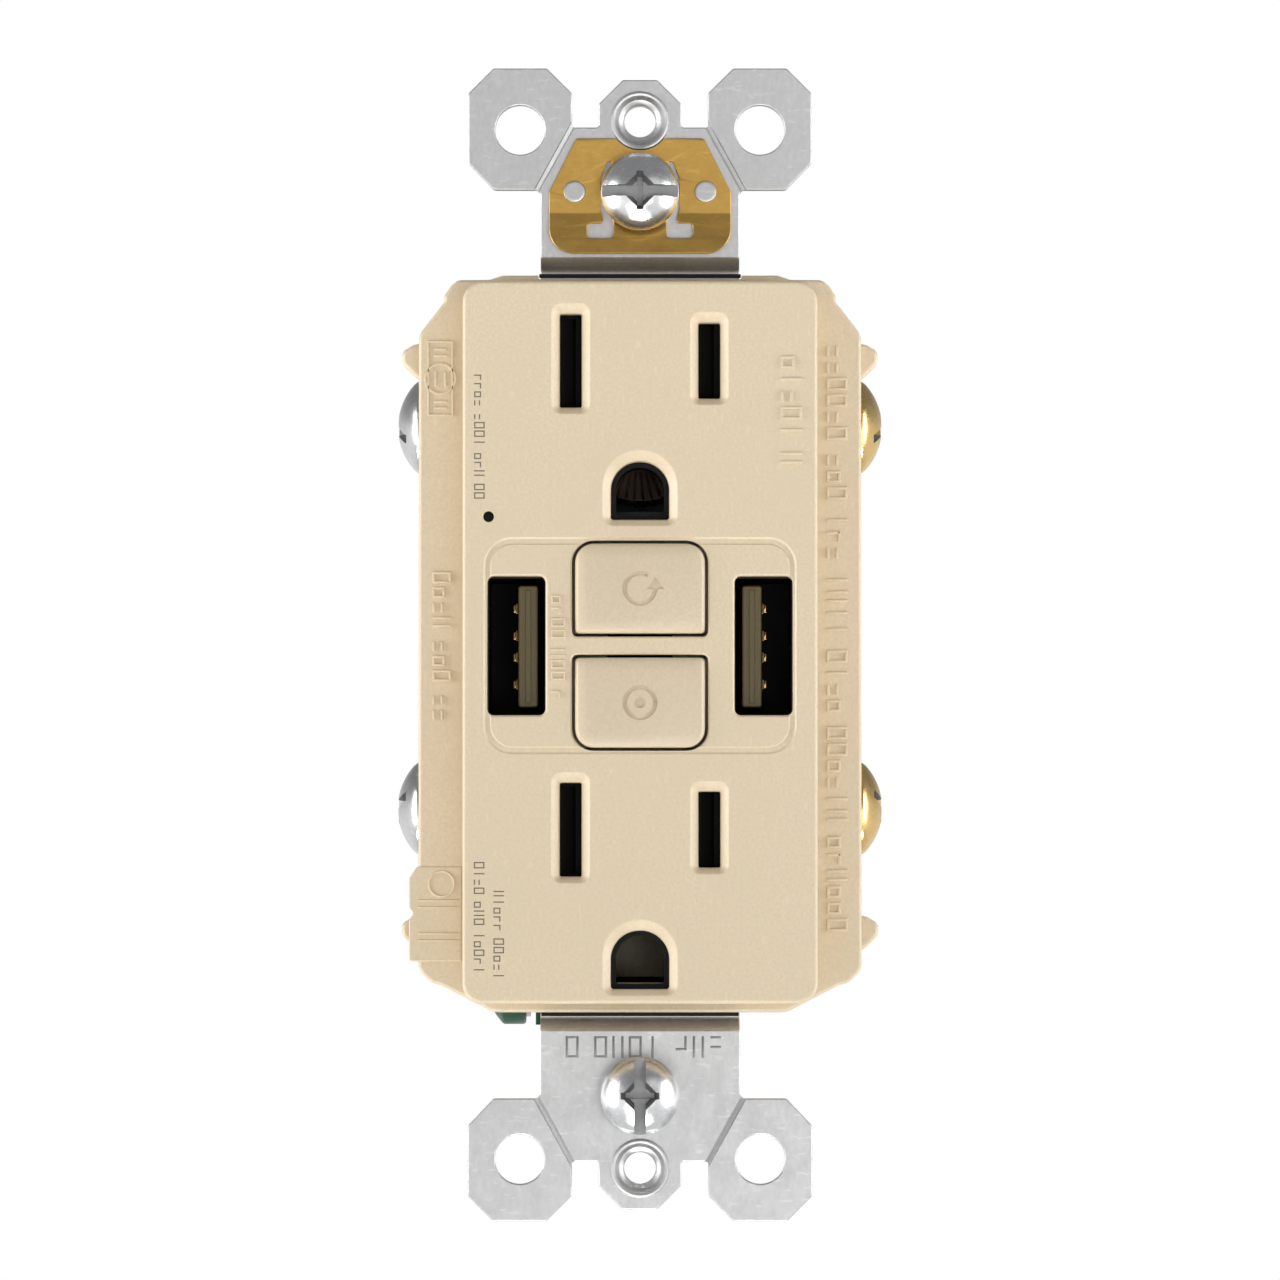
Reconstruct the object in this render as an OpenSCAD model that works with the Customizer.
// Duplex safety outlet with reset and test buttons and two charging ports.
// X runs across the face, +Z is up and the face looks along -Y.
// The origin is the centre of the strap's rear face, which rests against the wall.

/* [Strap] */
// Overall height of the mounting strap
strap_h = 106.6; // [106:0.2:108]
// Overall width across the plaster ears
strap_w = 31.8; // [31.4:0.2:33]
// Sheet thickness of the strap
strap_t = 1.3; // [1.1:0.1:1.4]
// Distance between the two wall-plate screw holes
plate_hole_gap = 96.84; // [96.5:0.02:97]
// Distance between the two box screws
box_screw_gap = 83.34; // [83:0.02:83.8]

/* [Body] */
// Width of the raised face
face_w = 32.6; // [32.4:0.1:33]
// Height of the raised face
face_h = 66.4; // [66:0.1:66.8]
// How far the face stands in front of the strap's rear plane
face_front = 6.4; // [6.2:0.1:6.8]
// Width of the flange and of the whole moulded body
body_w = 40.9; // [40.6:0.1:41.5]
// Depth of the body behind the wall surface
body_depth = 32; // [32:0.5:36]

/* [Outlets] */
// Height of the upper outlet's blade slots above the origin
upper_slot_z = 25.87; // [25.7:0.01:26]
// Distance from one outlet down to the other
outlet_pitch = 43.1; // [43:0.1:43.3]
// Half of the distance between the two blade slots
slot_x = 6.37; // [6.3:0.01:6.45]
// Width of a blade slot
slot_w = 2.0; // [1.8:0.1:2.1]

/* [Controls] */
// Gap around each button
button_gap = 0.28; // [0.2:0.01:0.3]

/* [Hidden] */

$fn = 64;
eps = 0.02;

// Colours of the real materials
ivory = [0.86, 0.79, 0.67];
zinc = [0.78, 0.78, 0.78];
brass = [0.80, 0.62, 0.25];
green = [0.12, 0.32, 0.18];
dark = [0.12, 0.12, 0.13];
board_green = [0.10, 0.35, 0.20];
spring_steel = [0.66, 0.66, 0.68];

// Depth levels, measured along Y
face_y = -face_front;
face_skin = 2.0;
flange_y = -1.75;
flange_skin = 1.9;
split_y = 5.0;
back_y = body_depth;
wall = 1.6;
inner_strap_y = 0.6;
frame_y = 2.3;
frame_t = 2.0;
bus_y = 12.5;
bus_t = 0.6;
board_y = 24;
board_t = 1.6;

// Heights and half sizes of the body
body_top = 34.05;
body_half = body_w / 2;
strap_half = strap_w / 2;
ear_top = strap_h / 2;
neck_half = 9.2;
strap_bend_z = 35.4;
strap_inner_z = 34.2;

// Outlets
lower_slot_z = upper_slot_z - outlet_pitch;
slot_levels = [upper_slot_z, lower_slot_z];
pin_drop = 11.95;
pin_hole_w = 5.35;
neutral_slot_h = 8.6;
hot_slot_h = 6.95;
slot_bevel = 0.8;
bevel_depth = 0.45;
rivet_rise = 4.6;
shutter_travel = 2.8;
tray_half_x = 13.8;
tray_half_z = 5.1;

// Buttons and ports share one raised group around this height
group_z = -0.35;
button_w = 12.5;
button_h = 8.82;
button_bar = 1.66;
reset_z = group_z + button_bar / 2 + button_h / 2;
test_z = group_z - button_bar / 2 - button_h / 2;
button_flange_y = -2.4;
stem_half = 1.2;
port_x = 11.35;
port_w = 5.24;
port_h = 12.8;
shell_t = 0.3;
shell_front = -4.3;
shell_back = 9;
tongue_x = [9.4, 11.2];
tongue_half = 5.6;
light_x = -13.9;
light_z = 11.5;

// Side terminals: heights of the screw axes and levels along X
terminal_z = [20.8, -15.1];
terminal_y = 13;
terminal_in = 15.9;
terminal_out = 16.9;
plate_in = 19.05;
plate_out = 20.05;
head_under = 20.1;
head_top = 22.8;
terminal_r = 2.08;
terminal_head_r = 4.3;
tab_low = 3.2;
tab_high = 4.4;

// Ground terminal
ground_y = 9.5;
ground_z = -31.2;
ground_head_r = 4.1;
ground_under = -10.65;

// Box screws
box_screw_r = 1.75;
box_head_r = 3.6;
box_head_y = -3.0;
box_screw_len = 31.75;

// Housing screws that pull the two shells together
corner_x = 16.2;
corner_screws = [[-corner_x, 27.9], [corner_x, 27.9], [-corner_x, -23.4], [corner_x, -23.4]];

// Tripping mechanism
coil_y = 18.4;
coil_low = -20.6;
coil_high = -6.6;
toroid_z = 20;

// ---- Helpers -------------------------------------------------------------

// Extrudes an X-Z outline from depth y0 to depth y1
module slab(y0, y1) translate([0, y1, 0]) rotate([90, 0, 0]) linear_extrude(y1 - y0) children();

// Extrudes a Y-Z outline from x0 to x1
module bar(x0, x1) translate([x0, 0, 0]) rotate([90, 0, 90]) linear_extrude(x1 - x0) children();

// Box between two opposite corners
module block(lo, hi) translate(lo) cube(hi - lo);

// Round rods along each axis
module rod_x(r, x0, x1) translate([x0, 0, 0]) rotate([0, 90, 0]) cylinder(r = r, h = x1 - x0);
module rod_y(r, y0, y1) translate([0, y0, 0]) rotate([-90, 0, 0]) cylinder(r = r, h = y1 - y0);
module rod_z(r, z0, z1) translate([0, 0, z0]) cylinder(r = r, h = z1 - z0);

// Rectangle with round corners, centred
module rounded(w, h, r) {
    square([w - 2 * r, h], center = true);
    square([w, h - 2 * r], center = true);
    for (x = [-1, 1], z = [-1, 1]) translate([x * (w / 2 - r), z * (h / 2 - r)]) circle(r);
}

// Draws children on both sides of the centre line
module both_sides() {
    children();
    mirror([1, 0, 0]) children();
}

// Keeps children on the +X side, or mirrors them to -X
module scale_side(s) mirror([s > 0 ? 0 : 1, 0, 0]) children();

// Domed screw head rising from z = 0, with a short straight rim
module dome(r, h, rim = 0.5) {
    rise = h - rim;
    sphere_r = (r * r + rise * rise) / (2 * rise);
    intersection() {
        translate([0, 0, h - sphere_r]) sphere(sphere_r);
        cylinder(r = r, h = h + 1);
    }
}

// Outline of the moulded body; inset shrinks it evenly
module body_outline(inset = 0) {
    w = body_half - inset;
    t = body_top - inset;
    half = [
        [0, t], [w - 7, t], [w - 3.4, t - 0.9], [w - 2.35, t - 2.0], [w - 2.15, t - 3.0],
        [w, t - 5.9], [w, 4.3 - t], [w - 1.6, 2.5 - t], [w - 4, 1.3 - t], [w - 7, -t], [0, -t]
    ];
    polygon(half);
    mirror([1, 0]) polygon(half);
}

// Ground pin opening: half round top over a square foot
module pin_outline(grow = 0) {
    r = pin_hole_w / 2 + grow;
    circle(r);
    translate([-r, -r]) square([2 * r, r]);
}

// ---- Shells --------------------------------------------------------------

module face_slot(x, z, h) {
    translate([x, 0, z]) {
        slab(face_y - 1, 1) square([slot_w, h], center = true);
        hull() {
            slab(face_y - eps, face_y) square([slot_w + 2 * slot_bevel, h + 2 * slot_bevel], center = true);
            slab(face_y, face_y + bevel_depth) square([slot_w, h], center = true);
        }
    }
}

module side_nub(z) {
    tip = 1.45;
    foot = 1.7;
    translate([0, 0, z]) slab(0.4, 4.2)
        polygon([[body_half - 0.5, foot], [body_half, foot], [body_half + tip, 0.25],
            [body_half + tip, -0.25], [body_half, -foot], [body_half - 0.5, -foot]]);
}

module front_cover() color(ivory) {
    groove_w = 28.7;
    groove_h = 19.9;
    groove_t = 0.65;
    groove_deep = 0.12;
    cover_boss_r = 2.2;
    strap_notch = 0.35;
    difference() {
        union() {
            difference() {
                union() {
                    slab(face_y, flange_y) rounded(face_w, face_h, 1.9);
                    slab(flange_y, split_y) body_outline();
                }
                slab(face_y + face_skin, split_y + 1)
                    square([face_w - 2 * wall, face_h - 2 * (wall + 0.3)], center = true);
                slab(flange_y + flange_skin, split_y + 1) body_outline(wall);
            }
            both_sides() for (z = [26.5, -26.5]) side_nub(z);
            for (p = corner_screws) translate([p[0], 0, p[1]]) rod_y(cover_boss_r, flange_y + 1, split_y);
        }
        for (p = corner_screws) translate([p[0], 0, p[1]]) rod_y(1.05, 0.9, split_y + 1);
        for (z = slot_levels) {
            face_slot(-slot_x, z, neutral_slot_h);
            face_slot(slot_x, z, hot_slot_h);
            translate([0, 0, z - pin_drop]) {
                slab(face_y - 1, 1) pin_outline();
                slab(face_y - 1, face_y + bevel_depth / 2) pin_outline(slot_bevel / 2);
            }
        }
        for (z = [reset_z, test_z]) translate([0, 0, z])
            slab(face_y - 1, 0) rounded(button_w, button_h, 0.6);
        for (x = [-port_x, port_x]) translate([x, 0, group_z])
            slab(face_y - 1, 0) rounded(port_w, port_h, 0.4);
        translate([0, 0, group_z]) slab(face_y - 1, face_y + groove_deep) difference() {
            rounded(groove_w, groove_h, 2.6);
            rounded(groove_w - 2 * groove_t, groove_h - 2 * groove_t, 2.0);
        }
        translate([light_x, 0, light_z]) rod_y(0.5, face_y - 1, 0);
        block([-neck_half - 0.2, flange_y - 1, body_top - strap_notch], [neck_half + 0.2, split_y + 1, body_top + 1]);
        for (side = [-1, 1])
            block([-neck_half - 0.2, inner_strap_y - 0.25, side * (body_top - 1) - 1.5],
                [neck_half + 0.2, split_y + 1, side * (body_top - 1) + 1.5]);
    }
}

module rear_housing() color(ivory) {
    pocket_half = 5.2;
    seat_half = 4.6;
    cavity_half = 14.4;
    cup_r = 3.0;
    cup_end = 11.0;
    inset = 0.8;
    difference() {
        union() {
            difference() {
                slab(split_y, back_y) body_outline(inset);
                difference() {
                    union() {
                        block([-cavity_half, split_y - 1, -31.8], [cavity_half, back_y - wall, 31.8]);
                        block([-17.8, split_y - 1, -9], [17.8, back_y - wall, 14]);
                    }
                    block([-cavity_half - 1, 0, -32], [-6, 16.1, -25.3]);
                }
                block([-body_half, 0, -body_top - 1], [-7.6, 14.5, -26.8]);
                for (s = [-1, 1], z = terminal_z) {
                    translate([0, 0, z]) scale_side(s) {
                        block([terminal_out + 0.05, 8.0, -pocket_half], [body_half, 18.2, pocket_half]);
                        block([terminal_in - 0.05, 8.4, -seat_half], [body_half, 17.6, seat_half]);
                    }
                }
            }
            for (s = [-1, 1], z = terminal_z) translate([0, terminal_y, z])
                scale_side(s) rod_x(cup_r, cup_end, cavity_half + 1);
            for (x = [-12, 12], z = [-29, 29]) translate([x, 0, z])
                rod_y(1.4, board_y + board_t, back_y - 1);
            for (side = [-1, 1]) strap_tongue(side);
        }
        for (s = [-1, 1], z = terminal_z) {
            translate([0, terminal_y, z]) scale_side(s) rod_x(2.4, cup_end + 0.6, terminal_out + 1);
            tab = z > 0 ? [tab_low, tab_high, bus_y + bus_t] : [-tab_high, -tab_low, bus_y + 1.9];
            translate([0, 0, z]) scale_side(s)
                block([14.3, split_y - 1, tab[0] - 0.2], [terminal_out, tab[2] + 0.2, tab[1] + 0.2]);
        }
        translate([0, ground_y, ground_z]) rod_x(2.8, -8, -5);
        for (p = corner_screws) translate([p[0], 0, p[1]]) {
            rod_y(1.15, split_y - 1, back_y + 1);
            rod_y(1.75, back_y - 1.6, back_y + 1);
        }
    }
}

// Tongue that closes the strap's notch from behind
module strap_tongue(side) {
    z0 = side > 0 ? 31.9 : -33.2;
    x0 = side > 0 ? -neck_half : -7.6;
    block([x0, inner_strap_y + strap_t + 0.2, z0], [neck_half, split_y + 1, z0 + 1.3]);
}

module middle_housing() color(dark) {
    chamber_w = 5.0;
    chamber_h = 10.6;
    chamber_wall = 0.9;
    difference() {
        union() {
            slab(frame_y, frame_y + frame_t) body_outline(wall + 1.1);
            for (x = [-slot_x, slot_x], z = slot_levels) translate([x, 0, z])
                slab(frame_y, bus_y - 0.2) square([chamber_w, chamber_h], center = true);
        }
        for (x = [-slot_x, slot_x], z = slot_levels) translate([x, 0, z])
            slab(frame_y - 1, bus_y)
                square([chamber_w - 2 * chamber_wall, chamber_h - 2 * chamber_wall], center = true);
        for (z = slot_levels) translate([0, 0, z - pin_drop])
            block([-3.8, frame_y - 1, -6], [3.8, frame_y + 9, 6]);
        block([-3.2, 0, -9.2], [3.2, 9, 8.8]);
        for (x = [-port_x, port_x]) translate([x, 0, group_z])
            slab(0, 9) square([port_w + 1.2, port_h + 1.0], center = true);
        for (p = corner_screws) translate([p[0], 0, p[1]]) rod_y(2.7, 0, 9);
        translate([light_x + 0.5, 0, light_z]) rod_y(1.1, 0, 9);
        block([-body_half, 0, -body_top], [-7.7, 9, -26.6]);
        for (side = [-1, 1])
            block([-body_half, 0, side * 33 - 1.4], [body_half, 9, side * 33 + 1.4]);
    }
}

// ---- Strap and its fasteners ---------------------------------------------

// One quarter-symmetric end of the strap, for z above the bend
module strap_end() {
    ear_in = 6.3;
    tab_half = 3.8;
    notch_z = ear_top - 5.5;
    chamfer = 2.33;
    half = [
        [0, ear_top - 1.1], [1.5, ear_top - 1.1], [tab_half, ear_top - 3.3], [tab_half, notch_z],
        [ear_in, notch_z], [ear_in, ear_top - chamfer], [ear_in + chamfer, ear_top],
        [strap_half - chamfer, ear_top], [strap_half, ear_top - chamfer],
        [strap_half, ear_top - 8.7], [strap_half - chamfer, ear_top - 11.3],
        [neck_half + 0.3, ear_top - 11.3], [neck_half, ear_top - 11.8],
        [neck_half, strap_bend_z], [0, strap_bend_z]
    ];
    polygon(half);
    mirror([1, 0]) polygon(half);
}

module strap_holes() {
    ear_hole_x = 11.1;
    ear_hole_z = 47.58;
    for (side = [-1, 1]) {
        translate([0, 0, side * plate_hole_gap / 2]) {
            rod_y(1.45, -5, 5);
            translate([0, -strap_t - eps, 0]) rotate([-90, 0, 0]) cylinder(r1 = 2.72, r2 = 1.45, h = 1.1);
        }
        for (x = [-ear_hole_x, ear_hole_x]) translate([x, 0, side * ear_hole_z]) rod_y(2.27, -5, 5);
        translate([0, 0, side * box_screw_gap / 2]) {
            for (x = [-1, 1]) translate([x, 0, 0]) rod_y(2.1, -5, 5);
            block([-1, -5, -2.1], [1, 5, 2.1]);
        }
    }
    for (x = [-6.06, 6.06]) translate([x, 0, 41.8]) rod_y(0.85, -5, 5);
}

// Scored line along which one plaster ear can be broken off
module ear_score() {
    score_w = 0.4;
    score_len = 8.4;
    lean = 29;
    translate([7.9, ear_top - 8.4]) rotate(lean) square([score_w, score_len], center = true);
}

module mounting_strap() color(zinc) {
    y0 = inner_strap_y;
    y1 = inner_strap_y + strap_t;
    collar_r = 2.7;
    score_deep = 0.25;
    difference() {
        union() {
            for (side = [0, 1]) mirror([0, 0, side]) {
                slab(-strap_t, 0) strap_end();
                bar(-neck_half, neck_half) polygon([[-strap_t, strap_bend_z + eps], [0, strap_bend_z + eps],
                    [0, strap_bend_z], [y1, strap_inner_z], [y1, strap_inner_z - eps],
                    [y0, strap_inner_z - eps], [y0, strap_inner_z], [-strap_t, strap_bend_z]]);
                translate([0, 0, plate_hole_gap / 2]) rod_y(collar_r, -eps, 0.9);
            }
            block([-neck_half, y0, 31.6], [neck_half, y1, strap_inner_z]);
            block([-neck_half, y0, -strap_inner_z], [neck_half, y1, -26.8]);
            block([-4.9, y0, -strap_inner_z + 1], [4.9, y1, strap_inner_z - 1]);
            block([-7.4, y0, -10.4], [7.4, y1, 9.6]);
            block([-neck_half, y0, -33.9], [-neck_half + 1.2, ground_y + 3.4, -27.6]);
        }
        strap_holes();
        for (side = [0, 1], y = [-strap_t, 0])
            mirror([0, 0, side]) both_sides() slab(y - score_deep, y + score_deep) ear_score();
        block([-3.0, 0, -9.0], [3.0, 5, 8.3]);
        for (z = slot_levels) {
            translate([0, 0, z - pin_drop]) rod_y(3.45, 0, 5);
            translate([0, 0, z - pin_drop + rivet_rise]) rod_y(0.75, 0, 5);
        }
        translate([0, ground_y, ground_z]) rod_x(2.46, -neck_half - 1, -7);
    }
}

module grounding_clip() color(brass) {
    t = 0.4;
    top_z = 46.75;
    bend_z = 39.8;
    foot_z = 35;
    lean = 0.95;
    half_w = 8.4;
    corner_z = 38.3;
    corner_r = 2.3;
    round_x = half_w - corner_r;
    difference() {
        intersection() {
            bar(-half_w, half_w) polygon([[-strap_t, top_z], [-strap_t, bend_z], [-strap_t - lean, foot_z],
                [-strap_t - lean - t, foot_z], [-strap_t - t, bend_z + 0.05], [-strap_t - t, top_z]]);
            slab(-5, 0) polygon(concat(
                [[-half_w, 41.8], [-5.9, top_z], [5.9, top_z], [half_w, 41.8]],
                [for (a = [0 : 10 : 90]) [round_x + corner_r * cos(a), corner_z - corner_r * sin(a)]],
                [for (a = [90 : -10 : 0]) [-round_x - corner_r * cos(a), corner_z - corner_r * sin(a)]]));
        }
        translate([0, 0, box_screw_gap / 2]) rod_y(2.2, -5, 0);
        translate([0, 0, plate_hole_gap / 2]) rod_y(2.8, -5, 0);
        for (x = [-6.06, 6.06]) translate([x, 0, 41.8]) rod_y(0.85, -5, 0);
        both_sides() {
            block([2.9, -4, 37.6], [4.9, 0, 38.5]);
            block([2.9, -4, 37.6], [3.6, 0, 39.5]);
        }
    }
}

module clip_rivets() color(spring_steel) for (x = [-6.06, 6.06]) translate([x, 0, 41.8]) {
    rod_y(0.8, -1.9, 0.3);
    rod_y(1.05, -2.0, -1.7);
    rod_y(1.2, 0, 0.4);
}

// Captive screw: domed head in front, plain neck through the strap, then the thread
module box_screw(z, slot_turn) translate([0, 0, z]) rotate([0, slot_turn, 0]) {
    head_h = 2.6;
    neck_r = 1.4;
    neck_end = 2.0;
    difference() {
        union() {
            translate([0, box_head_y, 0]) rotate([90, 0, 0]) dome(box_head_r, head_h);
            rod_y(neck_r, box_head_y - eps, neck_end + eps);
            rod_y(box_screw_r, neck_end, box_head_y + box_screw_len - 1);
            translate([0, box_head_y + box_screw_len - 1 - eps, 0]) rotate([-90, 0, 0])
                cylinder(r1 = box_screw_r, r2 = 1, h = 1);
        }
        block([-4, -6, -0.5], [4, box_head_y - 1.1, 0.5]);
        block([-0.5, -6, -1.8], [0.5, box_head_y - 0.9, 1.8]);
    }
}

module upper_box_screw() color(zinc) box_screw(box_screw_gap / 2, 0);
module lower_box_screw() color(zinc) box_screw(-box_screw_gap / 2, 90);

module screw_retainer(z) translate([0, 0, z]) slab(0.3, 1.1) difference() {
    square([7.4, 7.4], center = true);
    circle(box_screw_r + 0.05);
}

module upper_screw_retainer() color("dimgray") screw_retainer(box_screw_gap / 2);
module lower_screw_retainer() color("dimgray") screw_retainer(-box_screw_gap / 2);

// ---- Buttons -------------------------------------------------------------

// Crowned cap with a catch flange behind the face and a square stem
module button(z, stem_end) translate([0, 0, z]) {
    crown_r = 30;
    proud = 0.8;
    w = button_w - 2 * button_gap;
    h = button_h - 2 * button_gap;
    intersection() {
        slab(face_y - proud, button_flange_y) rounded(w, h, 0.5);
        translate([0, face_y - proud + crown_r, 0]) rod_z(crown_r, -h, h);
    }
    slab(button_flange_y - 1.0, button_flange_y) rounded(w + 1.4, h, 0.5);
    slab(button_flange_y - eps, stem_end) square(2 * stem_half, center = true);
}

module reset_button() color(ivory) button(reset_z, 18);
module test_button() color(ivory) button(test_z, 8);

// Coil spring drawn as the sleeve it fills
module sleeve(r_out, r_in, length) difference() {
    cylinder(r = r_out, h = length);
    translate([0, 0, -1]) cylinder(r = r_in, h = length + 2);
}

module button_spring(z) translate([0, button_flange_y, z]) rotate([-90, 0, 0])
    sleeve(3.8, 3.3, inner_strap_y - button_flange_y);

module reset_spring() color(spring_steel) button_spring(reset_z);
module test_spring() color(spring_steel) button_spring(test_z);

module test_contact_leaf() color(brass) {
    block([-1.2, 9.8, -10.6], [1.2, 10.1, -3.4]);
    block([-1.2, frame_y + frame_t, -10.6], [1.2, 10.1, -10.3]);
}

// ---- Tamper shutters -----------------------------------------------------

module shutter(z) translate([0, 0, z]) difference() {
    block([-11.2, -3.6, -4.5], [9.2, -2.1, 4.5]);
    for (x = [-slot_x, slot_x]) translate([x - shutter_travel, 0, 0])
        block([-1.1, -5, -4.4], [1.1, 0, 4.4]);
    for (x = [-slot_x, slot_x]) translate([x, -3.6, 0]) rotate([0, 0, 28])
        block([-1.1, -1, -4.0], [0.4, 0.35, 4.0]);
}

module upper_shutter() color("white") shutter(upper_slot_z);
module lower_shutter() color("white") shutter(lower_slot_z);

module shutter_tray(z) translate([0, 0, z]) difference() {
    block([-tray_half_x, -3.9, -tray_half_z], [tray_half_x, -0.9, tray_half_z]);
    block([-tray_half_x + 0.6, -5, -4.6], [tray_half_x - 0.6, -2.0, 4.6]);
    for (x = [-slot_x, slot_x]) translate([x, 0, 0]) block([-1.3, -5, -4.5], [1.3, 0, 4.5]);
}

module upper_shutter_tray() color(dark) shutter_tray(upper_slot_z);
module lower_shutter_tray() color(dark) shutter_tray(lower_slot_z);

module shutter_spring(z) translate([9.25, -3.0, z]) rotate([0, 90, 0]) sleeve(0.9, 0.6, 3.9);
module upper_shutter_spring() color(spring_steel) shutter_spring(upper_slot_z);
module lower_shutter_spring() color(spring_steel) shutter_spring(lower_slot_z);

// ---- Current path --------------------------------------------------------

module ground_contacts() color(brass) for (i = [0, 1]) translate([0, 0, slot_levels[i] - pin_drop]) {
    y = inner_strap_y + strap_t;
    difference() {
        block([-4.2, y, i == 0 ? -5 : -2.6], [4.2, y + 0.4, 5.6]);
        block([-2.75, y - 1, -2.8], [2.75, y + 1, 2.8]);
        translate([0, 0, rivet_rise]) rod_y(0.75, y - 1, y + 1);
    }
    both_sides() block([2.75, y, -2], [3.15, y + 7, 2]);
    both_sides() block([2.25, y + 6.6, -2], [3.15, y + 7, 2]);
}

module contact_rivets() color(spring_steel) for (z = slot_levels)
    translate([0, 0, z - pin_drop + rivet_rise]) {
        rod_y(0.7, inner_strap_y - 0.2, 2.6);
        rod_y(1.0, inner_strap_y - 0.45, inner_strap_y);
        rod_y(1.0, inner_strap_y + strap_t + 0.4, 2.75);
    }

// Side plate with a threaded hole for one terminal screw
module terminal_plate(z) translate([0, 0, z]) difference() {
    block([terminal_in, 8.6, -tab_high], [terminal_out, 17.4, tab_high]);
    translate([0, terminal_y, 0]) rod_x(terminal_r + 0.05, terminal_in - 1, terminal_out + 1);
}

// Load side bus on +X: strip, two blade clips, one terminal and a fixed contact
module load_bus() {
    strip_in = 4.6;
    strip_out = 8.6;
    leaf_t = 0.4;
    leaf_gap = 0.75;
    block([strip_in, bus_y, lower_slot_z - 3.6], [strip_out, bus_y + bus_t, upper_slot_z + 3.6]);
    block([strip_in, bus_y, terminal_z[0] + tab_low],
        [terminal_out, bus_y + bus_t, terminal_z[0] + tab_high]);
    for (z = slot_levels, s = [-1, 1]) {
        x = slot_x + s * (leaf_gap + leaf_t / 2);
        block([x - leaf_t / 2, 5, z - 3.6], [x + leaf_t / 2, bus_y + eps, z + 3.6]);
    }
    terminal_plate(terminal_z[0]);
    translate([slot_x + 0.2, 0, 5]) rod_y(1.6, bus_y + bus_t - eps, 13.7);
}

module hot_load_bus() color(brass) load_bus();
module neutral_load_bus() color(brass) mirror([1, 0, 0]) load_bus();

// Line side terminal on +X with a post down to the main board
module line_terminal() {
    z = terminal_z[1];
    tab_y = 13.8;
    terminal_plate(z);
    block([11, tab_y, z - tab_high], [terminal_out, tab_y + bus_t, z - tab_low]);
    block([11, tab_y, z - tab_high], [12, board_y, z - tab_low]);
}

module hot_line_terminal() color(brass) line_terminal();
module neutral_line_terminal() color(brass) mirror([1, 0, 0]) line_terminal();

// Terminal screw on +X, backed out by the wire gap
module terminal_screw(z) translate([0, terminal_y, z]) difference() {
    head_h = head_top - head_under;
    union() {
        translate([head_under, 0, 0]) rotate([0, 90, 0]) dome(terminal_head_r, head_h, 0.9);
        rod_x(terminal_r, 13.7, head_under + eps);
    }
    block([head_top - 1.1, -5, -0.5], [head_top + 1, 5, 0.5]);
    block([head_top - 1.3, -0.5, -2.0], [head_top + 1, 0.5, 2.0]);
}

module upper_hot_screw() color(brass) terminal_screw(terminal_z[0]);
module lower_hot_screw() color(brass) terminal_screw(terminal_z[1]);
module upper_neutral_screw() color(zinc) mirror([1, 0, 0]) terminal_screw(terminal_z[0]);
module lower_neutral_screw() color(zinc) mirror([1, 0, 0]) terminal_screw(terminal_z[1]);

// Square clamping plate that the screw carries, ribbed on its inner face
module pressure_plate(z) translate([0, terminal_y, z]) difference() {
    block([plate_in, -4.3, -4.3], [plate_out, 4.3, 4.3]);
    rod_x(terminal_r + 0.05, plate_in - 1, plate_out + 1);
    for (s = [-1, 1]) block([plate_in - 1, -5, s * 3.1 - 0.3], [plate_in + 0.3, 5, s * 3.1 + 0.3]);
}

module upper_hot_plate() color(zinc) pressure_plate(terminal_z[0]);
module lower_hot_plate() color(zinc) pressure_plate(terminal_z[1]);
module upper_neutral_plate() color(zinc) mirror([1, 0, 0]) pressure_plate(terminal_z[0]);
module lower_neutral_plate() color(zinc) mirror([1, 0, 0]) pressure_plate(terminal_z[1]);

module ground_screw() color(green) translate([0, ground_y, ground_z]) difference() {
    union() {
        translate([ground_under, 0, 0]) rotate([0, -90, 0]) dome(ground_head_r, 3.4, 2.4);
        rod_x(2.4, ground_under - eps, -6.2);
    }
    block([ground_under - 4, -5, -0.5], [ground_under - 1.9, 5, 0.5]);
}

module ground_lock_washer() color(spring_steel) translate([0, ground_y, ground_z]) difference() {
    rod_x(3.4, ground_under + 0.03, ground_under + 0.43);
    rod_x(2.45, ground_under - 1, ground_under + 1);
}

module ground_terminal_plate() color(green) difference() {
    block([-neck_half - 0.5, split_y + 0.3, -35.3], [-neck_half, ground_y + 4.4, -27.6]);
    translate([0, ground_y, ground_z]) rod_x(2.46, -neck_half - 2, -neck_half + 1);
}

// ---- Charging ports ------------------------------------------------------

// Folded metal shell of one port, open at the front
module port_shell(x) translate([x, 0, group_z]) {
    inner_w = port_w - 0.12;
    inner_h = port_h - 0.3;
    difference() {
        slab(shell_front, shell_back) rounded(inner_w + 2 * shell_t, inner_h + 2 * shell_t, 0.5);
        slab(shell_front - 1, shell_back - shell_t) rounded(inner_w, inner_h, 0.3);
    }
}

module left_port_shell() color(spring_steel) port_shell(-port_x);
module right_port_shell() color(spring_steel) port_shell(port_x);

// Tongue on the side of the right port nearest the centre line
module port_tongue() translate([0, 0, group_z]) {
    slab(-3.8, 6) translate([tongue_x[0], -tongue_half])
        square([tongue_x[1] - tongue_x[0], 2 * tongue_half]);
    slab(6, shell_back - shell_t - 0.05) translate([port_x, 0])
        rounded(port_w - 0.2, port_h - 0.4, 0.3);
}

module right_port_tongue() color(dark) port_tongue();
module left_port_tongue() color(dark) mirror([1, 0, 0]) port_tongue();

module port_contacts() color(brass) both_sides()
    for (z = [-3.5, -1, 1, 3.5]) translate([0, 0, group_z + z])
        block([tongue_x[1], -3.2, -0.5], [tongue_x[1] + 0.25, 5.95, 0.5]);

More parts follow.
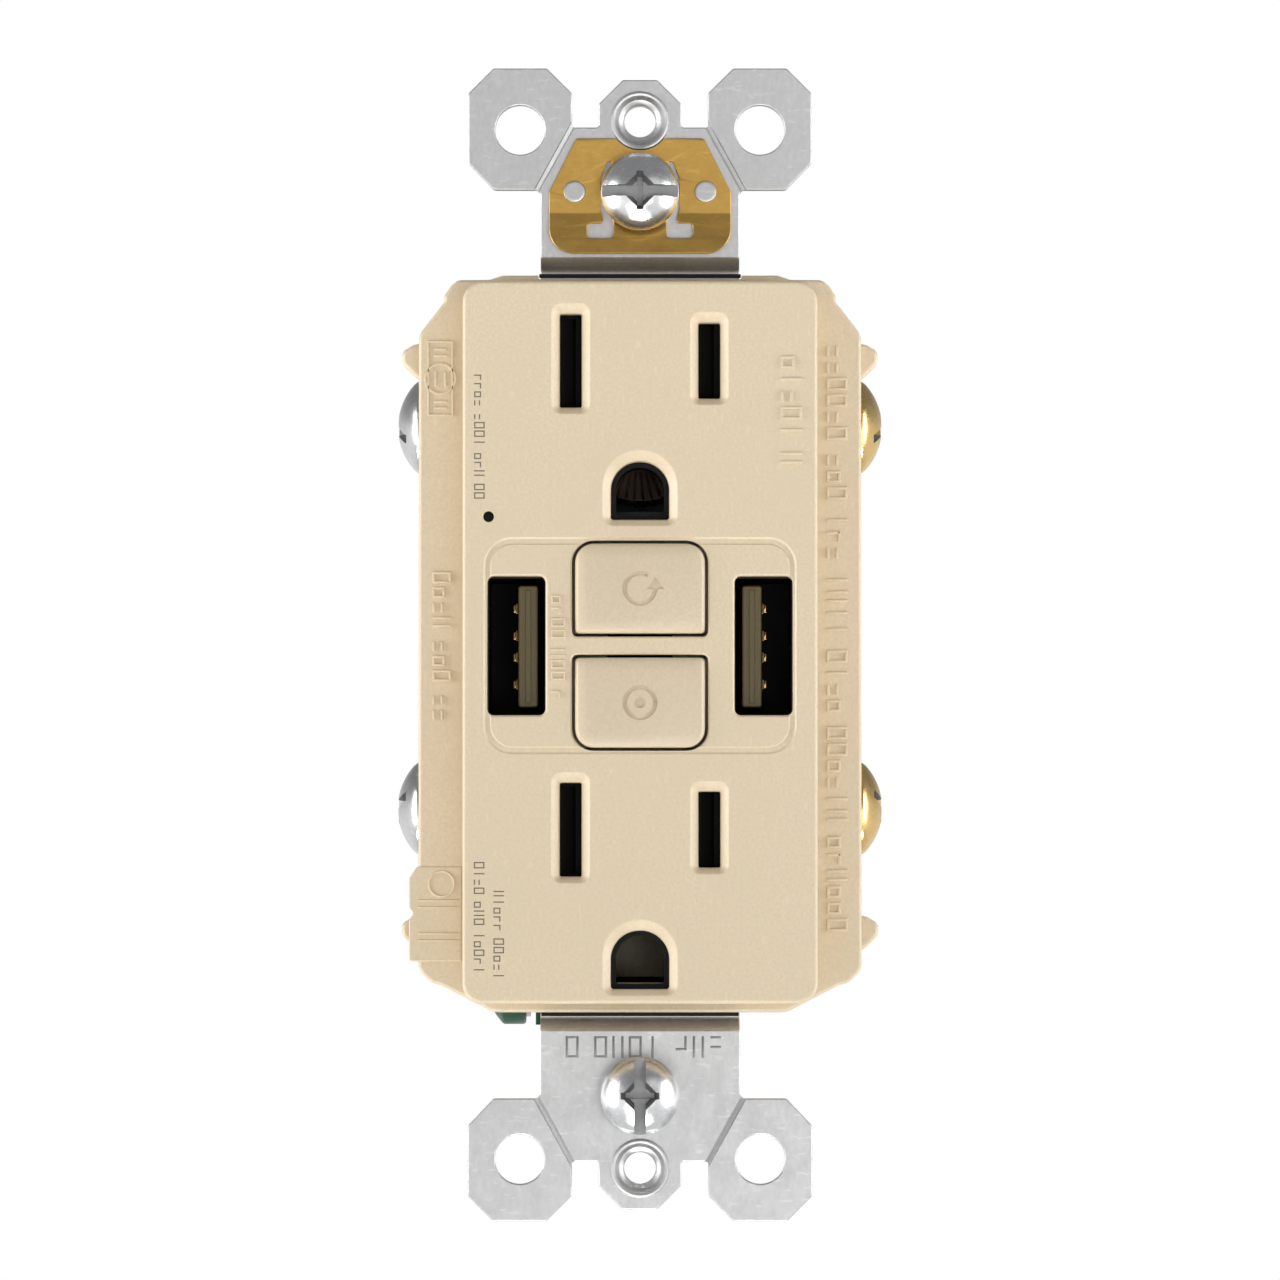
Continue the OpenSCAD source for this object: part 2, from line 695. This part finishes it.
module port_board() color(board_green) difference() {
    block([-14.2, 11, -11.6], [14.2, 12.2, 12.8]);
    block([-3.4, 10, -11.0], [3.4, 13, 8.6]);
}

module indicator_light_pipe() color("white") {
    translate([light_x, 0, light_z]) rod_y(0.45, face_y + 0.05, -2.5);
    translate([light_x + 0.5, 0, light_z]) rod_y(0.9, -3, 11);
}

// ---- Electronics and tripping mechanism ----------------------------------

module main_board() color(board_green)
    block([-13.8, board_y, -30.8], [13.8, board_y + board_t, 30.8]);

// Two ring cores, one behind the other, around the supply conductors
module sense_coils() color("peru") for (y = [13.9, 18.4])
    translate([0, y, toroid_z]) difference() {
        rod_y(6.4, 0, 3.4);
        rod_y(3.0, -1, 5);
    }

module sense_conductors() color(brass) both_sides()
    translate([1.4, 0, toroid_z]) rod_y(0.9, bus_y + bus_t, board_y);

module solenoid_bobbin() color(dark) translate([0, coil_y, 0]) difference() {
    union() {
        rod_z(3.2, coil_low, coil_high);
        rod_z(5.2, coil_low, coil_low + 1);
        rod_z(5.2, coil_high - 1, coil_high);
    }
    rod_z(2.6, coil_low - 1, coil_high + 1);
}

module solenoid_winding() color("chocolate") translate([0, coil_y, 0]) difference() {
    rod_z(4.9, coil_low + 1, coil_high - 1);
    rod_z(3.2, coil_low, coil_high);
}

module solenoid_plunger() color(zinc) translate([0, coil_y, 0]) {
    rod_z(2.53, -18, -7.2);
    rod_z(1.2, -7.3, -3.4);
}

module latch_plate() color(zinc) difference() {
    union() {
        block([-2, coil_y - 1.6, -3.4], [2, 20.4, -2.4]);
        block([-3.8, 19.8, -3.4], [3.8, 20.4, 9]);
    }
    block([-1.6, 19, 3.1], [1.6, 21, 7.0]);
}

module plunger_spring() color(spring_steel) translate([0, coil_y, -6.6]) sleeve(2.3, 1.5, 3.2);

module contact_lifter() color("white") difference() {
    block([-8.6, 16, 1], [8.6, 18.8, 9]);
    block([-1.5, 15, reset_z - 1.6], [1.5, 20, reset_z + 1.6]);
}

module moving_contacts() color(brass) both_sides() {
    block([5, 15.6, -2], [8.2, 16, 8]);
    translate([slot_x + 0.2, 0, 5]) rod_y(1.6, 15, 15.6);
}

module lifter_springs() color(spring_steel) both_sides()
    translate([6.6, 18.8, 5]) rotate([-90, 0, 0]) sleeve(1.4, 1.0, board_y - 18.8);

// Varistor, filter capacitor, smoothing capacitor and control chip on the main board
module board_components() color("steelblue") {
    translate([9.2, 0, -26]) rod_y(4.2, 20.4, board_y);
    translate([-9, 0, -26]) rod_y(3.6, 16.8, board_y);
    translate([10.4, 0, 27.8]) rod_y(3.0, 15, board_y);
    block([-4.4, 22.3, 1], [4.4, board_y, 7]);
}

module port_transformer() color("khaki") block([-4.4, 15, -31], [4.4, board_y, -22.6]);

// Pan-head screws that join the shells from behind
module assembly_screws() color(zinc) for (p = corner_screws) translate([p[0], 0, p[1]]) difference() {
    union() {
        rod_y(1.0, 1.4, back_y - 1.5);
        rod_y(1.65, back_y - 1.6, back_y - 0.3);
    }
    block([-0.25, back_y - 1.0, -1.1], [0.25, back_y, 1.1]);
    block([-1.1, back_y - 1.0, -0.25], [1.1, back_y, 0.25]);
}

front_cover();
mounting_strap();
grounding_clip();
clip_rivets();
upper_box_screw();
lower_box_screw();
upper_screw_retainer();
lower_screw_retainer();
reset_button();
reset_spring();
test_button();
test_spring();
test_contact_leaf();
upper_shutter();
lower_shutter();
upper_shutter_tray();
lower_shutter_tray();
upper_shutter_spring();
lower_shutter_spring();
middle_housing();
ground_contacts();
contact_rivets();
neutral_load_bus();
hot_load_bus();
neutral_line_terminal();
hot_line_terminal();
upper_neutral_screw();
lower_neutral_screw();
upper_hot_screw();
lower_hot_screw();
upper_neutral_plate();
lower_neutral_plate();
upper_hot_plate();
lower_hot_plate();
ground_screw();
ground_lock_washer();
ground_terminal_plate();
left_port_shell();
right_port_shell();
left_port_tongue();
right_port_tongue();
port_contacts();
port_board();
indicator_light_pipe();
main_board();
sense_coils();
sense_conductors();
solenoid_bobbin();
solenoid_winding();
solenoid_plunger();
latch_plate();
plunger_spring();
contact_lifter();
moving_contacts();
lifter_springs();
board_components();
port_transformer();
rear_housing();
assembly_screws();
